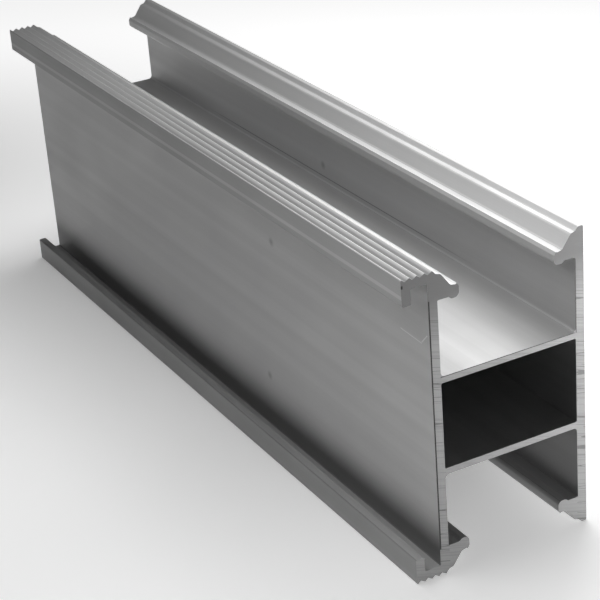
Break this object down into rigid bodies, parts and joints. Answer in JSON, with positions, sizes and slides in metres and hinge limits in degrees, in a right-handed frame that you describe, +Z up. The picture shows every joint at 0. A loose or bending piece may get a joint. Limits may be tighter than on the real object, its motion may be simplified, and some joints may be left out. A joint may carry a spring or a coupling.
{
  "type": "mounting rail",
  "caption": "Extruded aluminium box rail with a closed chamber, lipped channels above and below, and hooked, serrated flanges along one side.",
  "frame": {"origin": "on the floor, under the middle of the rail's outline and of its length", "axes": "+Y along the rail, +Z up, -X towards the side with the hooked flanges, +X towards the plain side"},
  "size_m": [0.062, 0.298, 0.1],
  "materials": {
    "mill_aluminium": "mill finish, satin along the length, sawn ends"
  },
  "bodies": {
    "root": {"mounting_rail": "mill_aluminium"}
  },
  "joints": []
}
